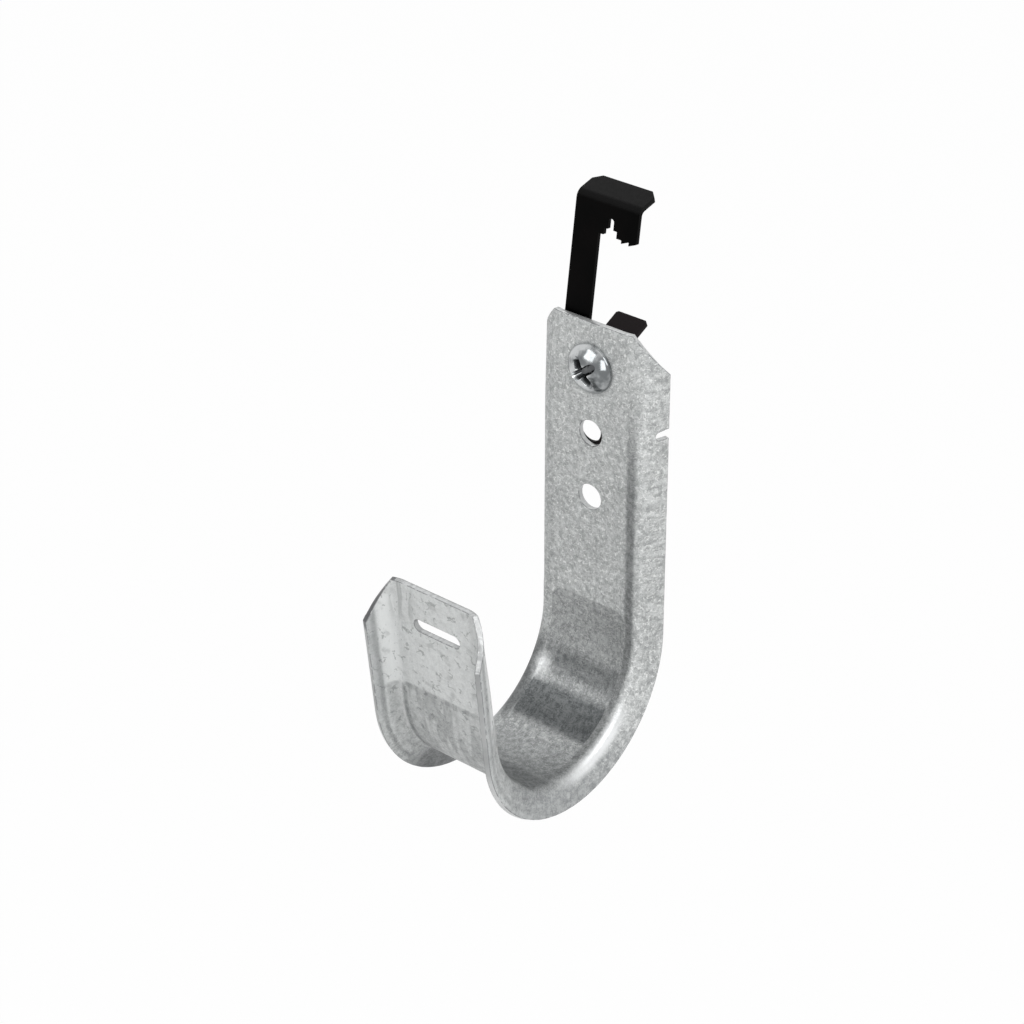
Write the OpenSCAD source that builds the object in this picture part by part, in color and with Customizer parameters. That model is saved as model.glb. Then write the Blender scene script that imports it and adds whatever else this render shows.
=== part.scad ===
// J hook cable support: a pressed sheet hook that cradles a cable bundle, hung from a
// hammer-on spring clip by one pan head screw and its nut.
// Origin: centre of the lower fixing hole, on the face of the strap that the cables touch.
// X runs across the strap, the lip stands toward -Y, Z is up.

/* [Hook sheet] */
// Thickness of the galvanised sheet
sheet_t = 1.4; // [1:0.1:2]
// Width of the web, measured between its two bend corners
web_w = 28.7; // [26:0.1:40]
// Radius of the flange bends along the strap and the lip
bend_r = 4.6; // [3.2:0.1:6]
// Radius of the tighter flange bends round the pressed saddle
saddle_bend_r = 2.9; // [2.4:0.1:5]
// Angle that the flanges are turned back from the web
flange_angle = 62; // [45:1:75]
// Length of each flange from its bend corner to the free edge
flange_len = 7.7; // [7:0.1:12]

/* [Hook shape] */
// Height of the strap's top above the lower fixing hole
strap_rise = 45.9; // [43:0.1:60]
// Depth of the saddle's centre below the lower fixing hole
saddle_drop = 34.4; // [32:0.1:60]
// Radius of the cable loop on the cable side
loop_r = 25.4; // [19:0.1:32]
// Angle that the lip leans outward
lip_lean = 6.4; // [0:0.1:15]
// Length of the straight lip above the end of the loop
lip_rise = 37; // [33:0.1:60]
// Length of the pressed saddle above the loop on the strap side
press_strap = 6.2; // [2:0.1:10]
// Length of the pressed saddle above the loop on the lip side
press_lip = 7.4; // [2:0.1:10]

/* [Hook corners] */
// Flat width of the strap's top edge, from the middle to the start of the corner cut
strap_cut_start = 11.8; // [9:0.1:13]
// Drop of the strap's corner cut, from the top edge to the free edge
strap_cut_drop = 10.3; // [6:0.1:14]
// Flat width of the lip's top edge, from the middle to the start of the corner cut
lip_cut_start = 13; // [9:0.1:14]
// Drop of the lip's corner cut, from the top edge to the free edge
lip_cut_drop = 10.5; // [6:0.1:14]

/* [Holes and notches] */
// Diameter of the fixing holes and of the screw's hole
hole_d = 6.6; // [6.4:0.1:8]
// Pitch of the three holes up the strap
hole_pitch = 17.2; // [15:0.1:20]
// Length of the retainer slot in the lip
slot_len = 13.9; // [8:0.1:18]
// Width of the retainer slot in the lip
slot_w = 3.5; // [2:0.1:4]
// Drop of the retainer slot's centre below the lip's top edge
slot_drop = 10.5; // [6:0.1:14]
// Depth of the retainer notch in the strap's flange
notch_deep = 3.6; // [2:0.1:5]
// Width of the retainer notch at its mouth
notch_mouth = 2.6; // [2.4:0.1:5]
// Radius of the retainer notch's inner end
notch_end_r = 1.1; // [0.5:0.1:1.1]
// Height of the strap's notch above the lower fixing hole
notch_rise = 20.2; // [14:0.1:30]

/* [Beam clip] */
// Thickness of the clip's spring steel
clip_t = 1.2; // [0.8:0.1:2]
// Width of the clip's leg, which is centred on the screw
leg_w = 19.2; // [16:0.1:20]
// Width of the hammer plate and the jaw, measured from the leg's left edge
plate_w = 17.9; // [15:0.1:19]
// Length of the clip's leg below the screw
clip_leg = 25.5; // [22:0.1:28]
// Height above the screw where the clip leans back
clip_set = 6.4; // [6.2:0.1:8]
// Angle that the clip leans back from the strap
clip_lean = 8.2; // [0:0.1:12]
// Height of the clip above its lean, up to the hammer plate's corner
clip_rise = 33.5; // [28:0.1:45]
// Distance of the leg's second hole to the left of the strap's middle hole
leg_hole_side = 1.4; // [0:0.1:2.5]
// Inside radius of the clip's folds
clip_fold_r = 1.2; // [0.8:0.1:2]
// Reach of the hammer plate behind its fold
hammer_len = 5.8; // [4:0.1:10]
// Slope of the hammer plate above the horizontal
hammer_slope = 13; // [0:1:25]
// Corner cut of the hammer plate
hammer_cut = 1.9; // [0.5:0.1:3]
// Width of the lower jaw's tab
tab_w = 8.8; // [6:0.1:10]
// Reach of the lower jaw's tab behind its fold
tab_len = 6; // [3:0.1:9]
// Slope of the lower jaw's tab above the horizontal
tab_slope = 25; // [0:1:40]
// Corner cut of the tab's free end
tab_cut = 0.5; // [0.3:0.1:2]

/* [Jaw] */
// Distance of the stepped arch's centre line from the screw's
arch_x = 0.8; // [-1:0.1:1.5]
// Height of the tips of the jaw's teeth above the clip's lean
jaw_rise = 24.5; // [20:0.1:25]
// Radius of the arch's round crown
crown_r = 0.8; // [0.5:0.05:1.1]
// Half width of the arch's middle step
arch_mid = 1.85; // [1.3:0.05:2.5]
// Half width of the arch's foot, where it meets the spine
arch_foot = 3.3; // [2.8:0.05:4]
// Height of the crown's centre above the tips of the teeth
crown_rise = 4.2; // [3.5:0.1:5]
// Height of the arch's middle step above the tips of the teeth
mid_rise = 2.4; // [1.8:0.1:3.2]
// Height of the arch's foot above the tips of the teeth
foot_rise = 0.8; // [0.3:0.1:1.5]
// Depth of the saw teeth on the jaw
tooth_deep = 0.9; // [0.4:0.1:1.5]
// Height of the mouth's floor above the clip's lean
mouth_floor = 1; // [0.6:0.1:3]

/* [Screw and nut] */
// Diameter of the screw
screw_d = 6.2; // [5.8:0.1:6.3]
// Diameter of the pan head
head_d = 12.5; // [11:0.1:14]
// Height of the pan head
head_h = 4; // [3:0.1:5]
// Width across the wings of the cross recess
recess_w = 6.9; // [4:0.1:8]
// Depth of the cross recess
recess_deep = 2.6; // [1.5:0.1:2.8]
// Width of each wing of the cross recess
recess_wing = 1.6; // [1:0.1:2]
// Angle that the cross recess is turned in the head
recess_turn = 20; // [0:1:90]
// Width of the nut across its flats
nut_af = 11.1; // [10:0.1:11.5]
// Height of the nut
nut_h = 5.5; // [3:0.1:7]
// Length of the screw's end beyond the nut
screw_out = 1.4; // [0.5:0.1:4]

/* [Hidden] */
$fn = 96;
SHEET_COLOR = [0.70, 0.72, 0.72];
CLIP_COLOR = [0.09, 0.09, 0.09];
ZINC_COLOR = [0.82, 0.83, 0.84];

// Cutters pass the faces that they cut by this much
CUT = 0.5;
// Free play between the screw and the nut's bore, on the radius
NUT_PLAY = 0.05;
// Step that the press leaves all round the saddle's section
PRESS_STEP = 0.03;
// Length by which joined stretches of the sheet run into each other
LAP = 0.3;
// Steps round each bend of the sheet and of a corner cut
BEND_STEPS = 12;

// Flat half of the web, up to where a bend of radius r starts
function web_half(r) = web_w / 2 - r * tan(flange_angle / 2);
// Length of a bend of radius r along its outer skin
function bend_arc(r) = r * flange_angle * PI / 180;
// Straight part of the flange beyond a bend of radius r
function flange_flat(r) = flange_len - r * tan(flange_angle / 2);
// Developed half width of the sheet, from the middle of the web to the free edge
function half_blank(r) = web_half(r) + bend_arc(r) + flange_flat(r);

// Turn of the section at distance s from the middle, measured along the skin
function turn_at(s, r) = s < web_half(r) ? 0
    : min(flange_angle, (s - web_half(r)) / r * 180 / PI);
// Point of the section at distance s along the skin and depth d into the sheet
function skin_at(s, d, r) =
    let (a = turn_at(s, r), flat = max(0, s - web_half(r) - bend_arc(r)))
    [min(s, web_half(r)) + (r - d) * sin(a) + flat * cos(a),
     r - (r - d) * cos(a) + flat * sin(a)];

edge_s = half_blank(bend_r);
screw_z = 2 * hole_pitch;
clip_front = sheet_t;
clip_back = sheet_t + clip_t;
set_z = screw_z + clip_set;
nut_back = clip_back + nut_h;
head_rim = 0.9;
nut_corner_d = nut_af / cos(30);
nut_chamfer = 0.6;
shank_chamfer = 0.5;
leg_corner_r = 3;
// Steps round each fold of the clip
FOLD_STEPS = 8;
TEETH = 2;
leg_half = leg_w / 2;
plate_right = plate_w - leg_half;
spine_x = arch_x - arch_foot;

// Whole channel section: web, two bends and two flanges turned away from the cable side, which
// lies at y = 0. Each bend is taken in short straight steps, as a press brake's ram leaves it.
// Proud is the height by which every face stands out from the plain sheet.
module channel_section(r, proud = 0) {
    steps = [for (i = [0:BEND_STEPS]) web_half(r) + bend_arc(r) * i / BEND_STEPS];
    stations = concat(steps, [half_blank(r) + proud]);
    last = len(stations) - 1;
    right = concat([for (s = stations) skin_at(s, -proud, r)],
                   [for (i = [last:-1:0]) skin_at(stations[i], sheet_t + proud, r)]);
    left = [for (i = [len(right) - 1:-1:0]) [-right[i].x, right[i].y]];
    polygon(concat(right, left));
}

// One corner cut, square to the sheet all the way round the bend and out along the flange.
// It starts at distance start on the top edge and falls by drop at the free edge.
module corner_cut(top, start, drop) {
    slope = drop / (edge_s - start);
    bend_end = web_half(bend_r) + bend_arc(bend_r);
    bend_start = max(web_half(bend_r), start + 0.1);
    stations = concat(
        [start - CUT / slope],
        [for (i = [0:BEND_STEPS]) bend_start + (bend_end - bend_start) * i / BEND_STEPS],
        [edge_s + CUT]);
    rings = [for (s = stations)
        let (low = top - slope * (s - start), near = skin_at(s, -CUT, bend_r),
             far = skin_at(s, sheet_t + CUT, bend_r))
        [[near.x, near.y, low], [far.x, far.y, low],
         [far.x, far.y, top + 2 * CUT], [near.x, near.y, top + 2 * CUT]]];
    last = len(rings) - 1;
    sides = [for (i = [0:last - 1], k = [0:3])
        let (j = (k + 1) % 4, a = 4 * i + k, b = 4 * i + j, c = 4 * (i + 1) + k, d = 4 * (i + 1) + j)
        each [[a, c, b], [b, c, d]]];
    caps = [[0, 1, 2], [0, 2, 3], [4 * last + 2, 4 * last + 1, 4 * last],
            [4 * last + 3, 4 * last + 2, 4 * last]];
    polyhedron(points = [for (ring = rings) each ring], faces = concat(sides, caps));
}

// Both corner cuts of one end of the hook
module end_cuts(top, start, drop) {
    corner_cut(top, start, drop);
    mirror([1, 0, 0]) corner_cut(top, start, drop);
}

// Tapered notch in the right flange for the wire of a cable retainer
module retainer_notch() {
    edge = skin_at(edge_s, 0, bend_r);
    inner = -notch_deep + notch_end_r;
    translate([edge.x, edge.y, notch_rise]) rotate([0, 0, flange_angle])
        rotate([90, 0, 0]) translate([0, 0, -sheet_t - CUT]) linear_extrude(sheet_t + 2 * CUT) {
            translate([inner, 0]) circle(notch_end_r);
            polygon([[inner, -notch_end_r], [CUT, 0.4 * -notch_mouth],
                     [CUT, 0.6 * notch_mouth], [inner, notch_end_r]]);
        }
}

// Upright strap with its three holes, corner cuts and notch
module strap() {
    bottom = press_strap - saddle_drop - LAP;
    difference() {
        translate([0, 0, bottom]) linear_extrude(strap_rise - bottom) channel_section(bend_r);
        end_cuts(strap_rise, strap_cut_start, strap_cut_drop);
        for (i = [0:2])
            translate([0, sheet_t + CUT, i * hole_pitch]) rotate([90, 0, 0])
                cylinder(h = sheet_t + 2 * CUT, d = hole_d);
        retainer_notch();
    }
}

// Pressed saddle: tighter bends carried round the loop and a little way up each side
module saddle() {
    translate([0, 0, -saddle_drop]) linear_extrude(press_strap) channel_section(saddle_bend_r);
    translate([0, -loop_r, -saddle_drop]) rotate([-90, 0, 90]) rotate_extrude(angle = 180 - lip_lean)
        translate([loop_r, 0]) rotate(-90) channel_section(saddle_bend_r, PRESS_STEP);
    at_lip() translate([0, 0, -LAP]) linear_extrude(press_lip + LAP)
        channel_section(saddle_bend_r);
}

// Places a child that stands on the end of the loop, facing outward along the lip
module at_lip() {
    translate([0, -loop_r, -saddle_drop]) rotate([-lip_lean, 0, 180])
        translate([0, loop_r, 0]) children();
}

// Leaning lip with its corner cuts and retainer slot
module lip() {
    half_slot = (slot_len - slot_w) / 2;
    at_lip() difference() {
        translate([0, 0, press_lip - LAP]) linear_extrude(lip_rise - press_lip + LAP)
            channel_section(bend_r);
        end_cuts(lip_rise, lip_cut_start, lip_cut_drop);
        translate([0, sheet_t + CUT, lip_rise - slot_drop]) rotate([90, 0, 0])
            linear_extrude(sheet_t + 2 * CUT) {
                translate([-half_slot, 0]) circle(d = slot_w);
                translate([half_slot, 0]) circle(d = slot_w);
                square([2 * half_slot, slot_w], center = true);
            }
    }
}

// The hook, folded and pressed from one blank
module hook() color(SHEET_COLOR) {
    strap();
    saddle();
    lip();
}

// Side view of the clip's strip in the Y-Z plane: upright from the height foot, leaning back
// above the crease, then turned back by a fold that starts at rise up the lean.
// Slope is the end's angle above the horizontal, reach the length of its flat.
function strip_corner(rise) =
    [clip_front + rise * sin(clip_lean), set_z + rise * cos(clip_lean)];
function strip_skin(rise, slope, reach, depth) =
    let (outer = clip_fold_r + clip_t, corner = strip_corner(rise),
         hub = [corner.x + outer * cos(clip_lean), corner.y - outer * sin(clip_lean)],
         r = outer - depth, turn = 90 - slope - clip_lean)
    concat(
        [[clip_front + depth, set_z - depth * tan(clip_lean / 2)]],
        [for (i = [0:FOLD_STEPS]) let (a = clip_lean + turn * i / FOLD_STEPS)
            [hub.x - r * cos(a), hub.y + r * sin(a)]],
        [[hub.x - r * sin(slope) + reach * cos(slope), hub.y + r * cos(slope) + reach * sin(slope)]]);
module strip(foot, rise, slope, reach) {
    back = strip_skin(rise, slope, reach, clip_t);
    polygon(concat([[clip_back, foot], [clip_front, foot]], strip_skin(rise, slope, reach, 0),
                   [for (i = [len(back) - 1:-1:0]) back[i]]));
}

// Strip between left and right, with both corners of its folded end cut off
module folded_plate(left, right, foot, rise, slope, reach, cut) {
    end = strip_skin(rise, slope, reach, 0)[FOLD_STEPS + 2];
    difference() {
        translate([left, 0, 0]) rotate([90, 0, 90]) linear_extrude(right - left)
            strip(foot, rise, slope, reach);
        translate([(left + right) / 2, end.x, end.y]) rotate([slope, 0, 0]) for (side = [0, 1])
            mirror([side, 0, 0]) translate([(right - left) / 2 - cut, 0, -2 * clip_t])
                linear_extrude(3 * clip_t) polygon([[-CUT, CUT], [cut + CUT, -cut - CUT], [cut + CUT, CUT]]);
    }
}

// Places a child on the part of the clip that leans back
module at_lean() {
    translate([0, clip_front, set_z]) rotate([-clip_lean, 0, 0]) children();
}

// Outline of the open jaw: mouth, stepped arch with a round crown, and saw teeth
module jaw_opening() {
    tooth_start = arch_x + arch_foot;
    tooth_pitch = (plate_right - tooth_start) / TEETH;
    translate([spine_x, mouth_floor]) square([plate_w, jaw_rise - mouth_floor]);
    translate([arch_x, jaw_rise]) {
        translate([-arch_foot, -CUT]) square([2 * arch_foot, foot_rise + CUT]);
        translate([-arch_mid, -CUT]) square([2 * arch_mid, mid_rise + CUT]);
        translate([-crown_r, -CUT]) square([2 * crown_r, crown_rise + CUT]);
        translate([0, crown_rise]) circle(crown_r);
    }
    for (i = [0:TEETH - 1])
        translate([tooth_start + i * tooth_pitch, jaw_rise]) let (w = tooth_pitch + (i == TEETH - 1 ? CUT : 0))
            polygon([[0, -CUT], [w, -CUT], [w, tooth_deep * w / tooth_pitch], [0, 0]]);
}

// Everything that is cut from the clip's leg: rounded foot, screw hole and second hole
module leg_cuts(foot) {
    translate([0, clip_back + CUT, 0]) rotate([90, 0, 0]) linear_extrude(clip_t + 2 * CUT) {
        translate([0, screw_z]) circle(d = hole_d);
        translate([-leg_hole_side, hole_pitch]) circle(d = hole_d);
        translate([0, foot]) for (side = [0, 1])
            mirror([side, 0]) translate([leg_half - leg_corner_r, 0]) difference() {
                translate([0, -CUT]) square([leg_corner_r + CUT, leg_corner_r + CUT]);
                translate([0, leg_corner_r]) circle(leg_corner_r);
            }
    }
}

// Spring steel clip that is hammered on to the edge of a beam flange. The right side of the
// leg and the tab are one strip, which parts from the plate along the tab's left edge.
module beam_clip() color(CLIP_COLOR) {
    foot = screw_z - clip_leg;
    tab_left = leg_half - tab_w;
    fold_setback = (clip_fold_r + clip_t) * tan((90 - hammer_slope - clip_lean) / 2);
    difference() {
        union() {
            difference() {
                folded_plate(-leg_half, plate_right, foot, clip_rise - fold_setback,
                             hammer_slope, hammer_len, hammer_cut);
                at_lean() translate([0, clip_t + CUT, 0]) rotate([90, 0, 0])
                    linear_extrude(clip_t + 2 * CUT) jaw_opening();
                translate([tab_left, clip_front - CUT, foot - CUT])
                    cube([plate_w, clip_t + 2 * CUT, set_z + 2 * mouth_floor - foot + CUT]);
            }
            folded_plate(tab_left, leg_half, foot, mouth_floor, tab_slope, tab_len, tab_cut);
        }
        leg_cuts(foot);
    }
}

// Cross recess for the driver, tapering down to its floor
module cross_recess() {
    translate([0, 0, head_h - recess_deep]) intersection() {
        cylinder(h = recess_deep + CUT, d1 = 2 * recess_wing, d2 = recess_w);
        for (turn = [0, 90])
            rotate(recess_turn + turn)
                translate([-recess_w, -recess_wing / 2, 0]) cube([2 * recess_w, recess_wing, 2 * head_h]);
    }
}

// Pan head screw, its head on the cable side of the strap
module screw() color(ZINC_COLOR) translate([0, 0, screw_z]) {
    dome_h = head_h - head_rim;
    dome_r = (pow(head_d / 2, 2) + pow(dome_h, 2)) / (2 * dome_h);
    shank_len = nut_back + screw_out;
    rotate([90, 0, 0]) difference() {
        intersection() {
            cylinder(h = head_h, d = head_d);
            translate([0, 0, head_h - dome_r]) sphere(dome_r);
        }
        cross_recess();
    }
    rotate([-90, 0, 0]) {
        cylinder(h = shank_len - shank_chamfer, d = screw_d);
        translate([0, 0, shank_len - shank_chamfer])
            cylinder(h = shank_chamfer, d1 = screw_d, d2 = screw_d - 2 * shank_chamfer);
    }
}

// Hex nut that pinches the clip's leg against the strap
module hex_nut() color(ZINC_COLOR) translate([0, clip_back, screw_z]) rotate([-90, 0, 0])
    difference() {
        intersection() {
            cylinder(h = nut_h, d = nut_corner_d, $fn = 6);
            union() {
                cylinder(h = nut_h - nut_chamfer, d = nut_corner_d);
                translate([0, 0, nut_h - nut_chamfer])
                    cylinder(h = nut_chamfer, d1 = nut_corner_d, d2 = nut_corner_d - 3 * nut_chamfer);
            }
        }
        translate([0, 0, -CUT]) cylinder(h = nut_h + 2 * CUT, d = screw_d + 2 * NUT_PLAY);
    }

hook();
beam_clip();
screw();
hex_nut();
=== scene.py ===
# %% [markdown]
# # J hook cable support
# A J hook carries a bundle of data cables. One strip of galvanised sheet is blanked flat, its
# two long edges are turned back so that no cable meets a sharp edge, and a saddle is pressed
# round a former. A black spring steel clip is hammered on to a beam's flange, and a pan head
# screw with its nut holds the two together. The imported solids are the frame: every piece that
# is made here goes exactly where they are.

# %% Load the frame
import math
import bpy
import numpy as np
from mathutils import Matrix, Vector


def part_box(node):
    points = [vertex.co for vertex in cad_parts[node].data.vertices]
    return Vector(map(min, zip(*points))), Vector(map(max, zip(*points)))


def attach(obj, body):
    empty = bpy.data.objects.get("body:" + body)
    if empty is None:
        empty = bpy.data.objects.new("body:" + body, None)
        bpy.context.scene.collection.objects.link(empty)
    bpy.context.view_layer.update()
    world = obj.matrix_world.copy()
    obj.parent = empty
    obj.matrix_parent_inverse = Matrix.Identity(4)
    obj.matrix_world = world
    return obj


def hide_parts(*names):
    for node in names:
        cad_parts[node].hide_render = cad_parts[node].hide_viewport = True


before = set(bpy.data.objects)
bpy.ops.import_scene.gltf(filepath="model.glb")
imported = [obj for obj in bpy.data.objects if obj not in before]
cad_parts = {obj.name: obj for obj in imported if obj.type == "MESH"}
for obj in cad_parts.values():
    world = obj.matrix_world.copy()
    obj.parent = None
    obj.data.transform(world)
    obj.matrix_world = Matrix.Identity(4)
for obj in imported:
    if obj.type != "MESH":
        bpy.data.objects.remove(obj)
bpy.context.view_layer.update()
MM = 0.001
ROOT = "root"
hook_low, hook_high = (np.array(c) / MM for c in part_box("hook"))
clip_low, clip_high = (np.array(c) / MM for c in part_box("beam_clip"))
print("hook from", hook_low.round(2), "to", hook_high.round(2), "mm")
print("clip from", clip_low.round(2), "to", clip_high.round(2), "mm")

# %% [markdown]
# ## The camera
# The camera looks down at the hook from its front right. Its place, its lens and a very small
# roll are set from three directions that stand square to each other: right, up and backward.

# %% Camera
def add_camera(turn, tilt, roll, distance, target, lens):
    """A camera that orbits the target: turn and tilt in degrees, lengths in millimetres."""
    a, e, r = (math.radians(v) for v in (turn, tilt, roll))
    back = Vector((math.sin(a) * math.cos(e), -math.cos(a) * math.cos(e), math.sin(e)))
    right = Vector((math.cos(a), math.sin(a), 0))
    up = back.cross(right)
    right, up = (math.cos(r) * right + math.sin(r) * up,
                 math.cos(r) * up - math.sin(r) * right)
    bpy.ops.object.camera_add()
    camera = bpy.context.active_object
    camera.name = "camera"
    camera.data.lens = lens
    camera.data.sensor_width = 36
    camera.data.clip_start = 0.01
    place = (Vector(target) + back * distance) * MM
    camera.matrix_world = Matrix.Translation(place) @ Matrix((right, up, back)).transposed().to_4x4()
    return camera


bpy.context.scene.camera = add_camera(turn=40.145, tilt=30.668, roll=-0.281, distance=645.19,
                                      target=(-13.923, -12, -3.954), lens=95.728)
print("camera at", [round(v, 4) for v in bpy.context.scene.camera.location])

# %% [markdown]
# ## Small helpers for the edit operators
# Every operator acts on what is selected, so each step begins with nothing selected. A cutter is
# a loose solid that is taken away with a Boolean modifier and then deleted.

# %% Helpers
def only(obj):
    """Selects one object and nothing else, and makes it active."""
    bpy.ops.object.select_all(action="DESELECT")
    obj.select_set(True)
    bpy.context.view_layer.objects.active = obj
    return obj


def edit(obj, mode="VERT"):
    """Deselects all parts of one object's mesh, with vertices or faces as what is picked."""
    only(obj)
    bpy.ops.object.mode_set(mode="EDIT")
    bpy.ops.mesh.select_mode(type=mode)
    bpy.ops.mesh.select_all(action="DESELECT")
    bpy.ops.object.mode_set(mode="OBJECT")


def pick(obj, test, kind="vertices"):
    """Selects the vertices or faces whose place passes the test, and enters edit mode."""
    edit(obj, "VERT" if kind == "vertices" else "FACE")
    for item in getattr(obj.data, kind):
        item.select = bool(test(item.co if kind == "vertices" else item.center))
    bpy.ops.object.mode_set(mode="EDIT")


def leave():
    """Back to object mode, so that the mesh's data is up to date."""
    bpy.ops.object.mode_set(mode="OBJECT")


def settle(obj, name=None):
    """Applies the place, turn and scale, so that the object sits at the origin."""
    only(obj)
    bpy.ops.object.transform_apply(location=True, rotation=True, scale=True)
    if name:
        obj.name = name
        obj.data.name = name
    return obj


def apply_modifier(obj, kind, **settings):
    """Adds a modifier with its settings and applies it at once."""
    only(obj)
    modifier = obj.modifiers.new(kind.lower(), kind)
    for key, value in settings.items():
        setattr(modifier, key, value)
    bpy.ops.object.modifier_apply(modifier=modifier.name)


def cut_away(obj, cutter):
    """Takes the cutter out of the object and deletes it."""
    apply_modifier(obj, "BOOLEAN", operation="DIFFERENCE", solver="EXACT", object=cutter)
    bpy.data.objects.remove(cutter, do_unlink=True)


def rod(radius, low, high, at=(0, 0), sides=64):
    """A round bar along Z at a place in the X-Y plane."""
    bpy.ops.mesh.primitive_cylinder_add(vertices=sides, radius=radius, depth=high - low,
                                        location=(at[0], at[1], (low + high) / 2))
    return settle(bpy.context.active_object)


def cut_off(obj, point, normal):
    """Cuts straight through the whole mesh and drops the side that the normal points to."""
    edit(obj)
    bpy.ops.object.mode_set(mode="EDIT")
    bpy.ops.mesh.select_all(action="SELECT")
    bpy.ops.mesh.bisect(plane_co=point, plane_no=normal, clear_outer=True)
    leave()


def form(obj, rule):
    """Moves every vertex by a rule, as a press moves the metal. Rule takes and gives N by 3."""
    count = len(obj.data.vertices)
    flat = np.empty(count * 3)
    obj.data.vertices.foreach_get("co", flat)
    obj.data.vertices.foreach_set("co", rule(flat.reshape(-1, 3)).ravel())
    obj.data.update()


def finish_mesh(obj, name, angle=32):
    """Normals outward, real size in metres, smooth where the metal is smooth."""
    edit(obj)
    bpy.ops.object.mode_set(mode="EDIT")
    bpy.ops.mesh.select_all(action="SELECT")
    bpy.ops.mesh.normals_make_consistent(inside=False)
    leave()
    form(obj, lambda p: p * MM)
    settle(obj, name)
    bpy.ops.object.shade_smooth_by_angle(angle=math.radians(angle))
    print(name, "has", len(obj.data.polygons), "faces")
    return obj

# %% [markdown]
# ## The hook's blank
# The real hook is first a flat blank with its holes, slot and notch already punched. The same is
# done here: a grid as large as the blank, with its lines crowded where the bends will come. The
# blank lies with its width along X, its length along Y from the strap's top to the lip's top,
# and its thickness along Z, the cable side at Z = 0. All lengths here are millimetres.

# %% Sizes of the hook
SHEET = 1.4
CORNER = 14.35            # the sharp corner between web and flange, from the middle
FLANGE_TURN = math.radians(62)
FLANGE = 7.7              # from that corner to the free edge
STRAP_TOP = hook_high[2]
LOOP_Z = -34.4            # height of the loop's centre
LOOP_R = 25.4             # radius of the loop on the cable side
LEAN = math.radians(6.4)  # how far the lip leans away from the strap
LIP = 37.0                # straight lip above the end of the loop
EDGE_R = 4.6              # the bend radius that the flat half width is measured with
HOLE_R, HOLE_PITCH = 3.3, 17.2

STRAP_RUN = STRAP_TOP - LOOP_Z
ARC_RUN = LOOP_R * (math.pi - LEAN)
BLANK_LENGTH = STRAP_RUN + ARC_RUN + LIP
HALF_BLANK = CORNER + FLANGE - EDGE_R * (2 * math.tan(FLANGE_TURN / 2) - FLANGE_TURN)
print("blank", round(2 * HALF_BLANK, 2), "by", round(BLANK_LENGTH, 2), "mm")

# %% Blank with crowded grid lines
COLUMNS, ROWS = 76, 330
bpy.ops.mesh.primitive_grid_add(x_subdivisions=COLUMNS, y_subdivisions=ROWS, size=2)
hook = settle(bpy.context.active_object, "hook_sheet")
line_at = np.linspace(-1, 1, 11)
line_to = np.array([-1, -0.845, -0.79, -0.70, -0.44, 0, 0.44, 0.70, 0.79, 0.845, 1])
form(hook, lambda p: np.stack([np.interp(p[:, 0], line_at, line_to) * HALF_BLANK,
                               (p[:, 1] + 1) / 2 * BLANK_LENGTH, 0 * p[:, 2]], 1))

# %% [markdown]
# The corners are sheared off by straight cuts, two at the strap and two at the lip. A bisect
# that clears one side is such a shear. Then the sheet gets its thickness by an extrude.

# %% Sheared corners
def shear_corners(top, start, drop, way):
    """start is how far from the middle line a cut begins, drop how far down the edge it ends."""
    for side in (-1, 1):
        normal = Vector((side * drop, -way * (HALF_BLANK - start), 0))
        cut_off(hook, (side * start, top, 0), normal.normalized())


shear_corners(top=0, start=11.8, drop=10.3, way=1)
shear_corners(top=BLANK_LENGTH, start=13.0, drop=10.5, way=-1)
pick(hook, lambda c: True, "polygons")
bpy.ops.mesh.extrude_region_move(TRANSFORM_OT_translate={"value": (0, 0, SHEET)})
leave()
print("sheared blank:", len(hook.data.polygons), "faces")

# %% [markdown]
# The round holes, the long slot and the tapered notch are punched through the flat sheet.

# %% Punched holes, slot and notch
def punch_round(height):
    """A round punch, placed by its height above the lowest hole."""
    return rod(HOLE_R, -2, SHEET + 2, at=(0, STRAP_TOP - height))


def punch_slot(length, width, centre):
    """A round bar whose two halves are pulled apart."""
    punch = rod(width / 2, -2, SHEET + 2, at=(0, centre), sides=48)
    for side in (-1, 1):
        pick(punch, lambda c: side * c.x > 1e-4)
        bpy.ops.transform.translate(value=(side * (length - width) / 2, 0, 0))
        leave()
    return punch


def punch_notch(deep, mouth, end_r, height):
    """A round bar whose outer half is drawn out past the edge and widened to the mouth."""
    inner = HALF_BLANK - deep + end_r
    y = STRAP_TOP - height
    punch = rod(end_r, -2, SHEET + 2, at=(inner, y), sides=32)
    pick(punch, lambda c: c.x > inner + 1e-4)
    bpy.ops.transform.resize(value=(0.01, mouth / 2 / end_r, 1), center_override=(inner, y, 0))
    bpy.ops.transform.translate(value=(deep, -0.1 * mouth, 0))
    leave()
    return punch


for height in (0, HOLE_PITCH, 2 * HOLE_PITCH):
    cut_away(hook, punch_round(height))
cut_away(hook, punch_slot(length=13.9, width=3.5, centre=BLANK_LENGTH - 10.5))
cut_away(hook, punch_notch(deep=3.6, mouth=2.6, end_r=1.1, height=20.2))
apply_modifier(hook, "BEVEL", limit_method="ANGLE", angle_limit=math.radians(60),
               width=0.13, segments=2, use_clamp_overlap=False)
print("punched blank:", len(hook.data.polygons), "faces")

# %% [markdown]
# The flat places are kept as a UV map before the sheet is formed. The zinc's crystals, the
# press marks and the painted shade and highlights are laid out on it, so they follow the metal
# round the bends. The cut faces are marked too, because bare sheared steel looks different from
# the rolled faces.

# %% Flat places as a UV map
FLAT = 0.01               # what a millimetre of the blank measures on the map


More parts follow.
